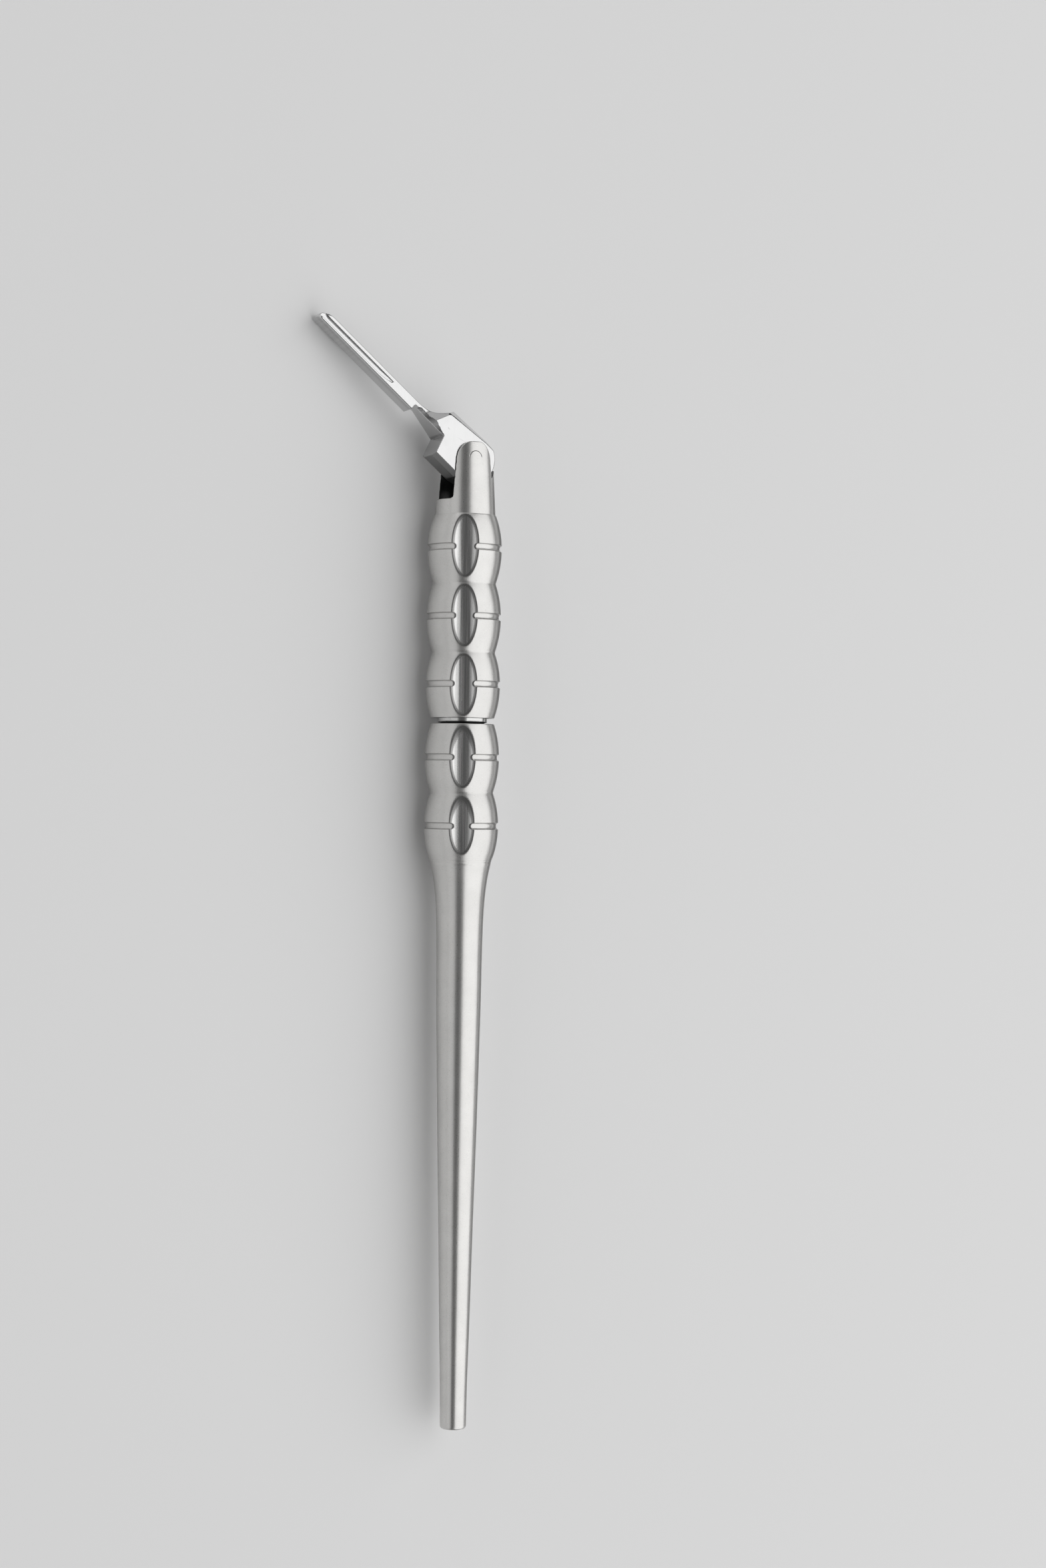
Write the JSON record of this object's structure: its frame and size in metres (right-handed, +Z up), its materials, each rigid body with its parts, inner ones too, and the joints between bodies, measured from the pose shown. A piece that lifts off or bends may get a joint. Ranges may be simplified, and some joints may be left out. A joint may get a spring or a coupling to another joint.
{
  "type": "scalpel handle",
  "caption": "Adjustable-angle scalpel handle: a pivoting blade mount held in a fork and clamped by a push rod when the rear grip is screwed in.",
  "frame": {"origin": "centre of the footprint's bounding box on the table that the handle lies on", "axes": "+Y along the handle from tail to fork, +Z up from the table, the blade mount bends towards -X"},
  "size_m": [0.0273, 0.156, 0.0105],
  "materials": {
    "satin_steel": "bead-blasted satin",
    "polished_steel": "polished",
    "pin_steel": "ground flush, satin",
    "rod_steel": "turned"
  },
  "bodies": {
    "grip": {"front_grip": "satin_steel", "hinge_pin": "pin_steel"},
    "mount": {"blade_mount": "polished_steel"},
    "rod": {"lock_rod": "rod_steel"},
    "rear": {"rear_grip": "satin_steel"}
  },
  "joints": [
    {"name": "mount_pivot", "type": "hinge", "parent": "grip", "child": "mount", "pos_m": [0.00855, 0.05913, 0.00526], "axis": [-0.165, 0, 0.9863], "range_deg": [-49.2, 40.8]},
    {"name": "rod_slide", "type": "slide", "parent": "grip", "child": "rod", "axis": [0, -1, 0], "range_m": [0, 0.0005625]},
    {"name": "rear_turn", "type": "hinge", "parent": "rod", "child": "rear", "pos_m": [0.00855, 0.02173, 0.00526], "axis": [0, -1, 0], "range_deg": [0, 270]}
  ],
  "couplings": [
    {"joint": "rear_turn", "follows": "rod_slide", "rad_per_m": 8377.6}
  ]
}
